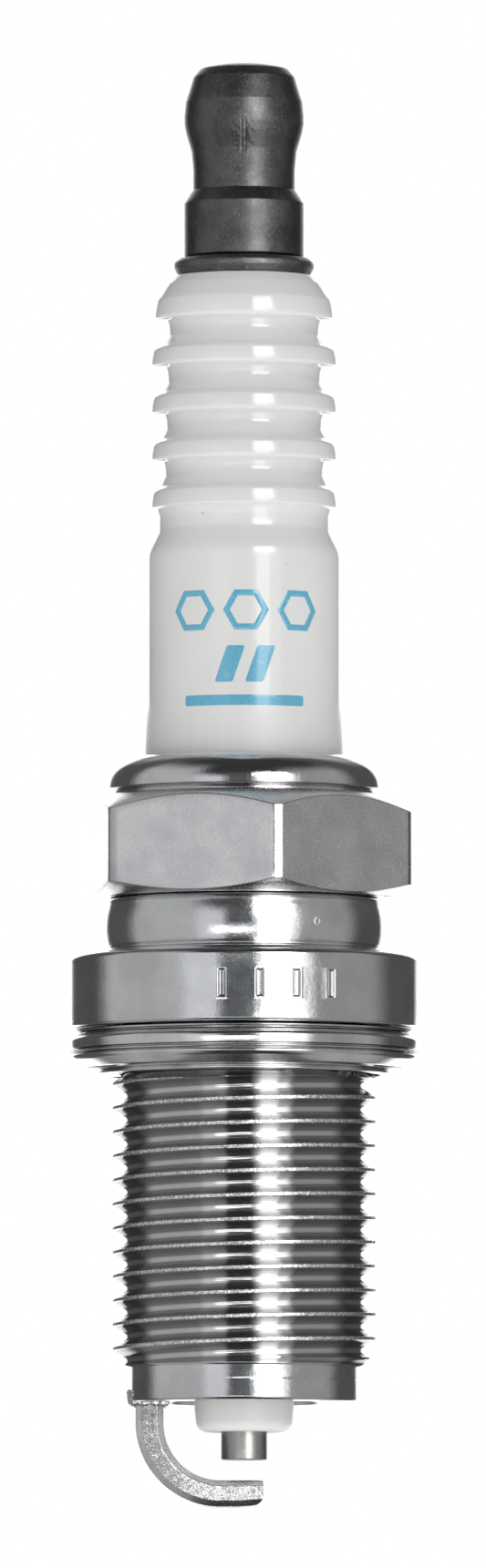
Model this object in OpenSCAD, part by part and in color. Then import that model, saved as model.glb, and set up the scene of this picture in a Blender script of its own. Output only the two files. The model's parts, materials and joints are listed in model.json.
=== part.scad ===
// Spark plug with a 14 mm thread, 19 mm class reach and 16 mm hex, in millimetres.
// Origin: centre of the gasket's lower face, which rests on the cylinder head. +Z points to the terminal.
// Heights inside the modules are measured from the shell's seat face, just above the gasket.

/* [Thread] */
// Major diameter of the shell's thread
thread_d = 14; // [13.8:0.1:14.2]
// Thread pitch
pitch = 1.25; // [1:0.05:1.5]
// Length of the shell below its seat face
reach = 19.4; // [18.6:0.1:20.2]

/* [Hex and collar] */
// Hex size across flats
hex_af = 16; // [15.8:0.1:16.2]
// Turned diameter that rounds the hex corners
hex_corner_d = 18.2; // [17.6:0.1:18.4]
// Diameter of the seat collar
collar_d = 18.4; // [17.6:0.1:18.6]
// Number of plain ticks stamped in the collar
tick_count = 4; // [0:1:8]

/* [Insulator] */
// Height of the insulator's top above the seat face
insulator_top = 39.3; // [38.8:0.1:40]
// Diameter of the smooth barrel
barrel_d = 10.1; // [9.8:0.1:10.2]
// Diameter of the ribs
rib_d = 9.8; // [9.6:0.1:10]
// Number of ribs below the top one
rib_count = 4; // [1:1:4]
// Distance from one rib to the next
rib_pitch = 2.47; // [2.3:0.01:2.5]
// Length of nose that shows below the shell
nose_out = 1.5; // [1:0.1:2]

/* [Electrodes] */
// Diameter of the centre electrode
centre_d = 2.4; // [2:0.05:2.5]
// Length of the centre electrode below the nose
centre_out = 1.45; // [1:0.05:2]
// Spark gap
gap = 1.1; // [0.6:0.1:1.3]
// Thickness of the side strap
strap_t = 1.35; // [1.2:0.05:1.5]
// Width of the side strap
strap_w = 2.7; // [2.4:0.1:3]

/* [Terminal] */
// Largest diameter of the terminal nut
terminal_d = 6.2; // [6.1:0.05:6.4]
// Height of the terminal nut's top above the seat face
terminal_top = 50.4; // [50:0.1:51]
// Thread diameter of the stud under the nut
stud_d = 4; // [3.9:0.05:4]

/* [Gasket] */
// Free height of the folded gasket
gasket_h = 2.35; // [2.2:0.05:2.5]
// Diameter of the gasket's widest lip
gasket_d = 18.7; // [18.4:0.1:19]

/* [Hidden] */

round_fn = 96;          // sides of the large turned shapes
play = 0.05;            // clearance between pieces that move on each other
slip = 0.02;            // clearance between pieces pressed or fired together
seat_z = gasket_h + play;

// shell: outside
thread_r = thread_d / 2;
root_r = thread_r - 0.6134 * pitch;
neck_r = root_r - 0.05;
end_r = root_r - 0.25;
thread_start = -2.55;
thread_stop = 2.05 - reach;
crest_phase = -3.56;    // height of a crest on the +X side
collar_top = 3.8;
ring_r = 7.33;          // buckled ring between collar and hex
ring_top = 6.8;
hex_bottom = 6.8;
hex_top = 12.15;
hex_front = -78.8;      // direction of the corner that is nearest the front
crimp_r = 7.17;
crimp_bottom = 12.42;
crimp_top = 14.16;

// shell: inside
cavity_r = 6.35;
cavity_floor = 1.6;
cavity_ceiling = 13.35;
mid_bore_r = 4.8;
nose_bore_r = 4.02;
seat_slope = tan(30);
inner_seat = -6;        // height of the inner seat at the nose bore

// insulator
barrel_r = barrel_d / 2;
foot_r = barrel_r + 0.07;
rib_r = rib_d / 2;
top_rib_r = 4.72;
top_rib_under = insulator_top - 2.3;
rib_h = 1.33;
flange_r = 6.2;
flange_top = 6.3;
flange_bottom = 2.4;
body_r = 4.65;
nose_root_r = 3.75;
nose_r = 2.47;
nose_end = -reach - nose_out;
core_bore_r = 1.98;
core_step = 0;          // height where the wide bore meets the electrode's bore

// packing between the insulator and the shell
wire_r = (cavity_r - foot_r) / 2 - slip;
lower_wire_z = flange_top + 0.8;
upper_wire_z = cavity_ceiling - 0.9;

// inside the bore
electrode_end = nose_end - centre_out;
electrode_r = centre_d / 2;
head_r = 1.75;
resistor_bottom = 4.6;
resistor_top = 14.6;
seal_top = 19.2;

// terminal
stud_r = stud_d / 2;
stud_flange_top = insulator_top + 0.95;
nut_bottom = stud_flange_top + play;
nut_bore_end = terminal_top - 1.7;
stud_end = nut_bore_end - 0.3;
bulb_r = terminal_d / 2;
nut_neck_r = 2.64;
nut_base_r = 3.1;

// side strap
strap_outer_x = -5.62;
bend_outer_r = min(4.35, nose_out + centre_out + gap + strap_t - 0.4);
strap_tip_x = 1;
arm_top = electrode_end - gap;
strap_edge_r = 0.35;

// points of a round arc about [x, y], from angle a to angle b
function arc(x, y, r, a, b, steps = 8) =
    [for (i = [0:steps]) let (t = a + (b - a) * i / steps) [x + r * cos(t), y + r * sin(t)]];

// raises the seat face to its place above the gasket
module at_seat() translate([0, 0, seat_z]) children();

// turned solid with the given half outline, as [radius, height] points
module turned(outline) rotate_extrude($fn = round_fn) polygon(outline);

// helical groove of a 60 degree thread, to be cut from a cylinder of radius r
module thread_groove(r, root, lead, bottom, top, crest_at_x, steps) {
    mouth_r = r / cos(180 / steps) + 0.02;
    half_root = lead / 12;
    half_mouth = half_root + (mouth_r - root) * tan(30);
    turns = ceil((top - bottom) / lead);
    leads_up = (crest_at_x - bottom) / lead + 0.5;
    first = bottom + lead * (leads_up - floor(leads_up));
    rings = turns * steps;
    corners = [[mouth_r, half_mouth], [root, half_root], [root, -half_root], [mouth_r, -half_mouth]];
    points = [for (i = [0:rings]) let (a = 360 * i / steps, z = first + lead * i / steps)
        for (c = corners) [c[0] * cos(a), c[0] * sin(a), z + c[1]]];
    sides = [for (i = [0:rings - 1]) for (k = [0:3])
        [4 * i + k, 4 * i + (k + 1) % 4, 4 * i + (k + 1) % 4 + 4, 4 * i + k + 4]];
    last = 4 * rings;
    ends = [[3, 2, 1, 0], [last, last + 1, last + 2, last + 3]];
    polyhedron(points, concat(sides, ends), convexity = 2 * turns);
}

// screw-on nut with a rounded bulb that a plug cap clips over
module terminal_nut() color("dimgray") at_seat() turned(concat(
    [[0, nut_bore_end + 0.9], [stud_r + play, nut_bore_end], [stud_r + play, nut_bottom + 0.35],
        [stud_r + play + 0.35, nut_bottom], [nut_base_r - 0.1, nut_bottom], [nut_base_r, nut_bottom + 0.1]],
    arc(nut_base_r - 0.15, terminal_top - 7.33, 0.15, 0, 50, 3),
    [[nut_neck_r, terminal_top - 6.62], [nut_neck_r, terminal_top - 5.5]],
    arc(nut_neck_r + 1.5, terminal_top - 5.2, 1.5, 184, 155, 4),
    arc(bulb_r - 1.2, terminal_top - 3.3, 1.2, -38, 0, 5),
    [[bulb_r, terminal_top - 2.6], [bulb_r - 0.33, terminal_top - 1.15]],
    arc(bulb_r - 1.25, terminal_top - 0.95, 0.84, 8, 76, 6),
    [[1.2, terminal_top - 0.03], [0, terminal_top]]));

// stud with a threaded end for the nut, a flange on the insulator and a knurled foot in the glass
module terminal_stud() color("gray") at_seat() {
    foot_r = 1.72;
    knurl_count = 5;
    turned(concat(
        [[0, resistor_top + 1.4], [foot_r - 0.4, resistor_top + 1.4]],
        [for (i = [0:knurl_count - 1]) for (p = [[0, 0], [0.5, 1]])
            [foot_r - 0.2 * p[1], resistor_top + 1.8 + 0.7 * (i + p[0])]],
        [[foot_r, seal_top + 0.3], [foot_r, insulator_top - 0.5], [foot_r, insulator_top + slip],
            [3.42, insulator_top + slip]],
        arc(3.3, insulator_top + 0.55, 0.34, -40, 62, 6),
        [[3.1, stud_flange_top - 0.02], [3.02, stud_flange_top], [1.62, stud_flange_top]],
        [[1.62, nut_bottom + 0.5], [0, nut_bottom + 0.5]]));
    difference() {
        turned([[0, nut_bottom + 0.45], [1.6, nut_bottom + 0.45], [stud_r, nut_bottom + 0.8],
            [stud_r, stud_end - 0.4], [stud_r - 0.4, stud_end], [0, stud_end]]);
        thread_groove(stud_r, stud_r - 0.43, 0.7, nut_bottom + 0.2, stud_end + 0.2, 0, 16);
    }
}

// round edge and sloped top of a rib, up to the neck above it
function rib_top(under, neck) = concat(
    arc(rib_r - 0.2, under + 0.2, 0.2, -70, 0, 3),
    arc(rib_r - 0.42, under + 0.44, 0.42, 0, 50, 4),
    [[rib_r - 0.4, under + rib_h - 0.26], [neck + 0.1, under + rib_h - 0.12], [neck, under + rib_h]]);

// outline of one rib with a flat underside
function rib(under, neck) = concat([[neck, under], [rib_r - 0.25, under]], rib_top(under, neck));

// radius of the neck below rib i, where rib 0 is the top one
function neck_r_below(i) = 3.96 + 0.07 * i;

// alumina insulator with flashover ribs, a flange inside the shell and a nose at the firing end
module insulator() color("white") at_seat() {
    lowest_rib = top_rib_under - rib_count * rib_pitch;
    bore_r = electrode_r + slip;
    turned(concat(
        [[bore_r, nose_end + 0.1], [bore_r + 0.1, nose_end], [nose_r - 0.62, nose_end]],
        arc(nose_r - 0.56, nose_end + 0.55, 0.55, -90, 4, 7),
        [[nose_root_r - 0.35, inner_seat - 3.2], [nose_root_r, inner_seat - 0.4]],
        [[nose_root_r, inner_seat + 0.34 + seat_slope * (nose_root_r - nose_bore_r)]],
        [[body_r, inner_seat + 0.34 + seat_slope * (body_r - nose_bore_r)]],
        [[body_r, flange_bottom - 1.1], [flange_r - 0.1, flange_bottom - 0.1]],
        [[flange_r, flange_bottom + 0.1], [flange_r, flange_top - 0.5], [flange_r - 0.15, flange_top - 0.25]],
        [[foot_r + 0.1, flange_top + 0.35], [foot_r, flange_top + 0.6]],
        [[foot_r, crimp_top + 0.5], [barrel_r, crimp_top + 1.9]],
        [[barrel_r, lowest_rib - 2.6]],
        arc(barrel_r - 1.2, lowest_rib - 2.6, 1.2, 0, 28, 4),
        [[4.47, lowest_rib - 1.1], [4.44, lowest_rib - 0.7]],
        [[4.5, lowest_rib - 0.3], [4.66, lowest_rib - 0.05]],
        rib_top(lowest_rib, neck_r_below(rib_count)),
        [for (i = [rib_count - 1:-1:1]) each rib(top_rib_under - i * rib_pitch, neck_r_below(i))],
        [[neck_r_below(0), top_rib_under], [top_rib_r - 0.25, top_rib_under]],
        arc(top_rib_r - 0.22, top_rib_under + 0.22, 0.22, -90, 0, 3),
        arc(top_rib_r - 0.5, top_rib_under + 0.5, 0.5, 0, 50, 4),
        [[top_rib_r - 0.3, top_rib_under + 1.13], [top_rib_r - 0.62, insulator_top - 0.45]],
        [[3.72, insulator_top], [core_bore_r + 0.3, insulator_top], [core_bore_r, insulator_top - 0.3]],
        [[core_bore_r, core_step], [bore_r, core_step - 0.5]]));
}

// conductive glass round the stud's foot
module upper_glass_seal() color("darkslategray") at_seat() difference() {
    turned([[0, resistor_top + slip], [core_bore_r - slip, resistor_top + slip],
        [core_bore_r - slip, seal_top], [0, seal_top]]);
    translate([0, 0, resistor_top + 1.36]) cylinder(h = 10, r = 1.74, $fn = round_fn);
}

// suppression resistor pellet
module resistor() color("saddlebrown") at_seat()
    turned([[0, resistor_bottom], [core_bore_r - slip, resistor_bottom],
        [core_bore_r - slip, resistor_top], [0, resistor_top]]);

// conductive glass round the centre electrode's head
module lower_glass_seal() color("darkslategray") at_seat() difference() {
    turned([[0, core_step + 0.1], [core_bore_r - slip, core_step + 0.1],
        [core_bore_r - slip, resistor_bottom - slip], [0, resistor_bottom - slip]]);
    translate([0, 0, core_step - 1]) cylinder(h = 2.12, r = head_r + slip, $fn = round_fn);
    translate([0, 0, core_step]) cylinder(h = 2.42, r = 1.12, $fn = round_fn);
}

// nickel alloy centre electrode, a deep cup round its copper core, with a flanged head
module centre_electrode() color("gray") at_seat()
    turned([[0, electrode_end], [electrode_r - 0.05, electrode_end], [electrode_r, electrode_end + 0.05],
        [electrode_r, core_step - 0.45], [head_r, core_step + 0.1], [head_r, core_step + 1.1],
        [1.1, core_step + 1.1], [1.1, core_step + 2.4], [0.72, core_step + 2.4],
        [0.72, electrode_end + 2.6], [0, electrode_end + 2.2]]);

// copper core of the centre electrode
module centre_electrode_core() color("peru") at_seat()
    turned([[0, electrode_end + 2.25], [0.72 - slip, electrode_end + 2.65],
        [0.72 - slip, core_step + 2.3], [0, core_step + 2.3]]);

// hex prism with its corners turned round and both ends chamfered
module shell_hex() intersection() {
    flat_r = hex_af / 2;
    corner_r = hex_corner_d / 2;
    translate([0, 0, hex_bottom]) rotate([0, 0, hex_front])
        cylinder(h = hex_top - hex_bottom, r = flat_r / cos(30), $fn = 6);
    turned([[0, hex_bottom], [flat_r - 0.2, hex_bottom],
        [corner_r, hex_bottom + 0.45 * (corner_r - flat_r + 0.2)],
        [corner_r, hex_top - 0.3 - 0.58 * (corner_r - flat_r)],
        [flat_r - 0.52, hex_top], [0, hex_top]]);
}

// one plain stamped tick, at an angle from the front
module tick(angle) rotate([0, 0, angle - 90])
    translate([collar_d / 2 - 0.14, -0.2, 1.25]) cube([1, 0.4, 1.45]);

// steel shell: rolled crimp lip, hex, buckled ring, seat collar and thread
module shell() color("silver") at_seat() {
    collar_r = collar_d / 2;
    tick_step = 12.2;
    difference() {
        union() {
            turned(concat(
                [[nose_bore_r + 0.25, -reach], [end_r - 0.35, -reach], [end_r, -reach + 0.35]],
                [[end_r, thread_stop - 0.25], [root_r, thread_stop - 0.2], [thread_r, thread_stop + 0.45]],
                [[thread_r, thread_start - 0.35], [neck_r, thread_start + 0.3], [neck_r, -0.3]],
                [[neck_r + 0.3, 0], [collar_r - 0.25, 0]],
                arc(collar_r - 0.25, 0.25, 0.25, -90, 0, 4),
                arc(collar_r - 0.4, collar_top - 0.45, 0.4, 0, 70, 5),
                [[ring_r + 0.35, collar_top], [ring_r + 0.12, collar_top + 0.08]],
                [[ring_r + 0.1, collar_top + 0.22], [ring_r - 0.2, collar_top + 0.32]],
                [[ring_r - 0.12, collar_top + 0.55]],
                arc(ring_r - 6, (collar_top + ring_top) / 2 - 0.1, 6, -8, 8, 4),
                arc(ring_r - 0.42, ring_top - 0.28, 0.28, 20, 90, 4),
                [[6.6, ring_top], [6.6, hex_top]],
                [[crimp_r - 0.35, hex_top + 0.05], [crimp_r - 0.3, crimp_bottom - 0.05]],
                [[crimp_r - 0.08, crimp_bottom]],
                arc(crimp_r - 1.57, crimp_bottom + 0.18, 1.57, 0, 75, 9),
                [[foot_r + 0.16, crimp_top], [foot_r + slip, crimp_top - 0.12]],
                [[foot_r + slip, cavity_ceiling + 0.1], [foot_r + 0.2, cavity_ceiling]],
                [[cavity_r, cavity_ceiling - 0.5], [cavity_r, cavity_floor + 0.8]],
                [[mid_bore_r, cavity_floor - 0.6]],
                [[mid_bore_r, inner_seat + seat_slope * (mid_bore_r - nose_bore_r)]],
                [[nose_bore_r, inner_seat], [nose_bore_r, -reach + 0.25]]));
            difference() {
                shell_hex();
                translate([0, 0, hex_bottom - 1]) cylinder(h = 8, r = 6.5, $fn = round_fn);
            }
        }
        thread_groove(thread_r, root_r, pitch, thread_stop - 1.3, thread_start + 1.2, crest_phase, 24);
        for (i = [0:1:tick_count - 1]) tick(-7.2 + tick_step * i);
    }
}

// steel wire ring in the packing space, centred at height z
module packing_ring(z) color("silver") at_seat()
    rotate_extrude($fn = round_fn) translate([(foot_r + cavity_r) / 2, z]) circle(r = wire_r, $fn = 24);

module upper_packing_ring() packing_ring(upper_wire_z);

module lower_packing_ring() packing_ring(lower_wire_z);

// pressed talc between the two wire rings
module talc_fill() color("ivory") at_seat() {
    bottom = lower_wire_z + wire_r + slip;
    top = upper_wire_z - wire_r - slip;
    turned([[foot_r + slip, bottom], [cavity_r - slip, bottom],
        [cavity_r - slip, top], [foot_r + slip, top]]);
}

// thin washer that seals the insulator's step on the shell's inner seat
module seat_washer() color("silver") at_seat() {
    lower = inner_seat + slip;
    upper = lower + 0.3;
    rise = seat_slope * (mid_bore_r - 0.08 - nose_bore_r);
    turned([[nose_bore_r + 0.02, lower], [mid_bore_r - 0.08, lower + rise],
        [mid_bore_r - 0.08, upper + rise], [nose_bore_r + 0.02, upper]]);
}

// folded crush gasket, loose on the shell's neck and kept there by three inner claws
module gasket() color("silver") {
    lip_r = gasket_d / 2;
    lobe_r = lip_r - 0.15;
    inner_r = thread_r + 0.12;
    drawn_h = 2.35;       // height that the outline below is drawn at
    outline = concat(
        [[inner_r, 0], [7.62, 0], [7.72, 0.08], [7.7, 0.16], [7.56, 0.2], [7.85, 0.24]],
        [[8.5, 0.34], [8.8, 0.52], [9.08, 0.74], [lobe_r, 0.93], [lobe_r - 0.08, 1.05], [8.2, 1.05]],
        [[8.2, 1.1], [lip_r - 0.03, 1.1], [lip_r, 1.14], [lip_r - 0.05, 1.2], [lobe_r - 0.3, 1.24]],
        arc(lobe_r - 0.42, 1.66, 0.42, -80, 80, 8),
        [[8.1, 2.12], [8.1, 2.18], [8.9, 2.18], [8.98, 2.24], [8.93, 2.32], [8.7, drawn_h]],
        [[inner_r + 0.1, drawn_h], [inner_r, drawn_h - 0.1]],
        [[inner_r, 1.75], [8.3, 1.69], [8.3, 1.63], [inner_r, 1.57]],
        [[inner_r, 0.86], [8.1, 0.74], [8.1, 0.68], [inner_r, 0.54]]);
    turned([for (p = outline) [p[0], p[1] * gasket_h / drawn_h]]);
    for (i = [0:2]) rotate([0, 0, 120 * i + 50]) rotate_extrude(angle = 24, $fn = round_fn)
        polygon([[neck_r + 0.3, 0.04], [inner_r + 0.1, 0], [inner_r + 0.1, 0.3], [neck_r + 0.3, 0.22]]);
}

// cross-section of the strap: thickness along X from 0, width along Y, rounded edges
module strap_section() {
    r = strap_edge_r;
    translate([r, -strap_w / 2]) square([strap_t - 2 * r, strap_w]);
    translate([0, r - strap_w / 2]) square([strap_t, strap_w - 2 * r]);
    for (x = [r, strap_t - r]) for (y = [r - strap_w / 2, strap_w / 2 - r])
        translate([x, y]) circle(r = r, $fn = 32);
}

// side strap: a leg welded to the shell's end, a bend and an arm under the centre electrode
module ground_electrode() color("darkgray") at_seat() {
    bend_x = strap_outer_x + bend_outer_r;
    bend_z = arm_top - strap_t + bend_outer_r;
    translate([strap_outer_x, 0, bend_z]) linear_extrude(-reach - slip - bend_z) strap_section();
    translate([bend_x, 0, bend_z]) rotate([90, 0, 0]) rotate([0, 0, 180])
        rotate_extrude(angle = 90, $fn = 128) translate([bend_outer_r - strap_t, 0]) strap_section();
    intersection() {
        translate([bend_x, 0, arm_top - strap_t]) rotate([90, 0, 90])
            linear_extrude(strap_tip_x - bend_x) rotate([0, 0, 90]) strap_section();
        translate([0, strap_w, arm_top]) rotate([90, 0, 0]) linear_extrude(2 * strap_w) polygon(concat(
            [[bend_x, 0], [bend_x, -strap_t], [strap_tip_x - 1.3, -strap_t]],
            arc(strap_tip_x - 0.45, 0.53 - strap_t, 0.45, -90, 0, 6),
            arc(strap_tip_x - 0.15, -0.15, 0.15, 0, 90, 3)));
    }
}

// metal squeezed out round the strap's root and up the shell's side when the strap is welded on
module strap_weld() color("gray") at_seat() difference() {
    root_x = strap_outer_x + strap_t / 2;
    flash_bottom = -reach - 0.3;
    flash_h = 1.05;
    flash_w = strap_w + 0.7;
    intersection() {
        translate([root_x - 1.2, -flash_w / 2, flash_bottom]) cube([2.3, flash_w, flash_h]);
        translate([root_x, 0, flash_bottom]) cylinder(h = flash_h, r1 = 2.05, r2 = 1.9, $fn = 48);
    }
    translate([0, 0, -reach - slip]) cylinder(h = 2, r = end_r + slip, $fn = round_fn);
    translate([strap_outer_x - slip, -strap_w / 2 - slip, -reach - 1])
        cube([strap_t + 2 * slip, strap_w + 2 * slip, 2]);
}

terminal_nut();
terminal_stud();
insulator();
upper_glass_seal();
resistor();
lower_glass_seal();
centre_electrode();
centre_electrode_core();
shell();
upper_packing_ring();
talc_fill();
lower_packing_ring();
seat_washer();
gasket();
ground_electrode();
strap_weld();
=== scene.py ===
import functools
import json
import math
import random

import bmesh
import bpy
from mathutils import Matrix, Vector, noise


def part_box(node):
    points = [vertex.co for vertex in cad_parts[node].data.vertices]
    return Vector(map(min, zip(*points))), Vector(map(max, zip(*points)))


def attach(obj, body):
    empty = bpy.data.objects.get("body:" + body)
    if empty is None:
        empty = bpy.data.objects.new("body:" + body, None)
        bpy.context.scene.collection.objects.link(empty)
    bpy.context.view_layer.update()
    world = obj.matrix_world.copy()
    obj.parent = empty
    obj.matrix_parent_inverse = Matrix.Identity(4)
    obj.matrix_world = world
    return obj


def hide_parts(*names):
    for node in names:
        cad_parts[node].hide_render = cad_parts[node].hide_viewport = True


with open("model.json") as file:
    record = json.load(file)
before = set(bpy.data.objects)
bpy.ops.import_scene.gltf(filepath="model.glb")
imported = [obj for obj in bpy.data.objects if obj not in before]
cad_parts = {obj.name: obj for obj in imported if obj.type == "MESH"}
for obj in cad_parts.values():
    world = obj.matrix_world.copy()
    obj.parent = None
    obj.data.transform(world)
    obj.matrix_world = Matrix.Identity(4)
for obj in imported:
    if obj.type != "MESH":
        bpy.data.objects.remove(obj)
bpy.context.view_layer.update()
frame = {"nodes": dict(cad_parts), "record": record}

# ----------------------------------------
# Measures. Lengths are in millimetres and heights are measured from the shell's seat face,
# until place() turns them into metres in the frame.
# ----------------------------------------

MM = 0.001
MOUNTS = {m["name"]: m for m in frame["record"]["mounts"]}
PLAY = 0.05                    # clearance of the pieces that move
SLIP = 0.02                    # clearance of the pieces that are pressed together
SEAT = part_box("gasket")[1].z / MM + PLAY


def low(node):
    """Height of a CAD node's lowest point."""
    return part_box(node)[0].z / MM - SEAT


def high(node):
    """Height of a CAD node's highest point."""
    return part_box(node)[1].z / MM - SEAT


def radius(mount):
    """Radius of a round mount."""
    return MOUNTS[mount]["dims"]["r_mm"]


SHELL_END = low("shell")
NOSE_END = low("insulator")
INSULATOR_TOP = high("insulator")
ELECTRODE_END = low("centre_electrode")
NUT_BOTTOM = low("terminal_nut")
TERMINAL_TOP = high("terminal_nut")
STUD_END = high("terminal_stud")

PITCH = 1.25
THREAD_R = radius("thread")
ROOT_R = THREAD_R - 0.6134 * PITCH   # a 60 degree thread's depth
FLANK = math.tan(math.radians(60))   # how much faster its flanks go in than along
NECK_R = ROOT_R - 0.05
END_R = ROOT_R - 0.25
THREAD_START = -2.43
THREAD_STOP = SHELL_END + 2.05
CREST_PHASE = -3.56            # height of a crest on the +X side

HEX_FLAT_R = 8.0
HEX_CORNER_R = 9.1
HEX_BOTTOM = 6.8
HEX_TOP = 12.15
HEX_FRONT = -78.8              # direction of the corner nearest the front, from +X
COLLAR_R = 9.2
COLLAR_TOP = 3.8
RING_R = 7.33
CRIMP_R = 7.17
CRIMP_BOTTOM = 12.42
CRIMP_TOP = 14.16
CAVITY_R = 6.35
MID_BORE_R = 4.8
NOSE_BORE_R = 4.02
LEDGE = -6.0                   # foot of the sloping ledge that carries the insulator
TICKS = [-7.2 + 12.2 * i for i in range(4)]   # directions of the stamped ticks, from the front

BARREL_R = radius("insulator_barrel")
FOOT_R = BARREL_R + 0.07
RIB_R = 4.9
TOP_RIB_R = 4.72
RIB_PITCH = 2.47
RIB_COUNT = 4
TOP_RIB_UNDER = INSULATOR_TOP - 2.3

BULB_R = radius("terminal")
NUT_BASE_R = 3.1
NUT_NECK_R = 2.64
ELECTRODE_R = 1.2
STUD_R = 2.0

FRONT = 270.0                  # direction of the front, from +X


def place(x, y, z):
    """A point in the frame, in metres."""
    return Vector((x * MM, y * MM, (z + SEAT) * MM))


def polar(r, direction, z):
    """A point in the frame at a distance from the axis, in a direction in degrees from +X."""
    a = math.radians(direction)
    return place(r * math.cos(a), r * math.sin(a), z)


def turn_between(direction, centre):
    """Degrees from centre to a direction, the short way round."""
    return (direction - centre + 180) % 360 - 180


def arc_side(direction, centre, r):
    """Millimetres round the surface from centre to a direction."""
    return math.radians(turn_between(direction, centre)) * r


def noise_spot(direction, z, across, along):
    """Where to read noise that goes round the axis without a seam."""
    a = math.radians(direction)
    return Vector((math.cos(a) * across, math.sin(a) * across, z * along))


# ----------------------------------------
# Outlines
# ----------------------------------------

def arc(x, y, r, start, end, steps=8):
    """Points of a round arc about (x, y), between two angles in degrees."""
    angles = [math.radians(start + (end - start) * i / steps) for i in range(steps + 1)]
    return [(x + r * math.cos(a), y + r * math.sin(a)) for a in angles]


def soften(corners, closed=False, step=14):
    """Rounds each (radius, height, fillet) corner. A corner with no fillet stays sharp."""
    points = []
    for i, corner in enumerate(corners):
        here = Vector(corner[:2])
        fillet = corner[2] if len(corner) > 2 else 0
        at_end = not closed and i in (0, len(corners) - 1)
        back = Vector(corners[i - 1][:2]) - here
        on = Vector(corners[(i + 1) % len(corners)][:2]) - here
        if at_end or fillet <= 0 or back.length < 1e-6 or on.length < 1e-6:
            points.append(tuple(here))
            continue
        between = back.angle(on)
        if between > math.radians(176):
            points.append(tuple(here))
            continue
        cut = min(fillet / math.tan(between / 2), 0.48 * back.length, 0.48 * on.length)
        r = cut * math.tan(between / 2)
        back.normalize()
        on.normalize()
        centre = here + (back + on).normalized() * r / math.sin(between / 2)
        first = here + back * cut - centre
        last = here + on * cut - centre
        turn = math.pi - between
        if first.x * last.y - first.y * last.x < 0:
            turn = -turn
        steps = max(2, math.ceil(abs(math.degrees(turn)) / step))
        for k in range(steps + 1):
            a = turn * k / steps
            points.append((centre.x + first.x * math.cos(a) - first.y * math.sin(a),
                           centre.y + first.x * math.sin(a) + first.y * math.cos(a)))
    return points


def dense(points, bottom, top, step):
    """Adds points so that no two between the heights bottom and top are more than step apart."""
    out = [points[0]]
    for a, b in zip(points, points[1:]):
        span = math.hypot(b[0] - a[0], b[1] - a[1])
        inside = min(a[1], b[1]) < top and max(a[1], b[1]) > bottom
        parts = max(1, math.ceil(span / step)) if inside else 1
        for k in range(1, parts + 1):
            out.append((a[0] + (b[0] - a[0]) * k / parts, a[1] + (b[1] - a[1]) * k / parts))
    return out


def spaced(loop, step):
    """Adds points so that no two neighbours in a closed loop are more than step apart."""
    out = []
    for a, b in zip(loop, loop[1:] + loop[:1]):
        parts = max(1, math.ceil(math.hypot(b[0] - a[0], b[1] - a[1]) / step))
        out += [(a[0] + (b[0] - a[0]) * k / parts, a[1] + (b[1] - a[1]) * k / parts) for k in range(parts)]
    return out


def soft_min(a, b, k):
    """The smaller of a and b, blended over k."""
    h = min(1, max(0, 0.5 + 0.5 * (b - a) / k))
    return b * (1 - h) + a * h - k * h * (1 - h)


def ramp(value, start, end):
    """Smooth rise from 0 at start to 1 at end."""
    t = min(1, max(0, (value - start) / (end - start)))
    return t * t * (3 - 2 * t)


def around(count):
    """Evenly spaced directions, in degrees."""
    return [360 * i / count for i in range(count)]


def around_with(count, centre, half_width, step):
    """Evenly spaced directions with closer ones round the direction centre."""
    close = [centre - half_width + step * i for i in range(int(2 * half_width / step) + 1)]
    far = [a for a in around(count) if abs(turn_between(a, centre)) > half_width + step]
    return sorted({round(a % 360, 4) for a in close + far})


# ----------------------------------------
# Meshes. A part is (points, faces).
# ----------------------------------------

def skin(rings, closed=False):
    """Joins rings of points into quads. A ring of one point is a pole."""
    points, faces, starts = [], [], []
    for ring in rings:
        starts.append(len(points))
        points.extend(ring)
    pairs = list(zip(range(len(rings)), range(1, len(rings))))
    if closed:
        pairs.append((len(rings) - 1, 0))
    for a, b in pairs:
        na, nb = len(rings[a]), len(rings[b])
        for j in range(max(na, nb)):
            k = (j + 1) % max(na, nb)
            corners = [starts[a] + j % na, starts[a] + k % na, starts[b] + k % nb, starts[b] + j % nb]
            face = [c for i, c in enumerate(corners) if c != corners[i - 1]]
            if len(face) > 2:
                faces.append(face)
    return points, faces


def ring_at(r, z, columns, shape=None):
    """One ring of a turned surface. shape(r, z, direction) may move a point in or out."""
    if r < 1e-6:
        return [place(0, 0, z)]
    return [polar(shape(r, z, d) if shape else r, d, z) for d in columns]


def turned(outline, columns, closed=False, shape=None):
    """Surface turned about the axis from (radius, height) points."""
    return skin([ring_at(r, z, columns, shape) for r, z in outline], closed)


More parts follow.
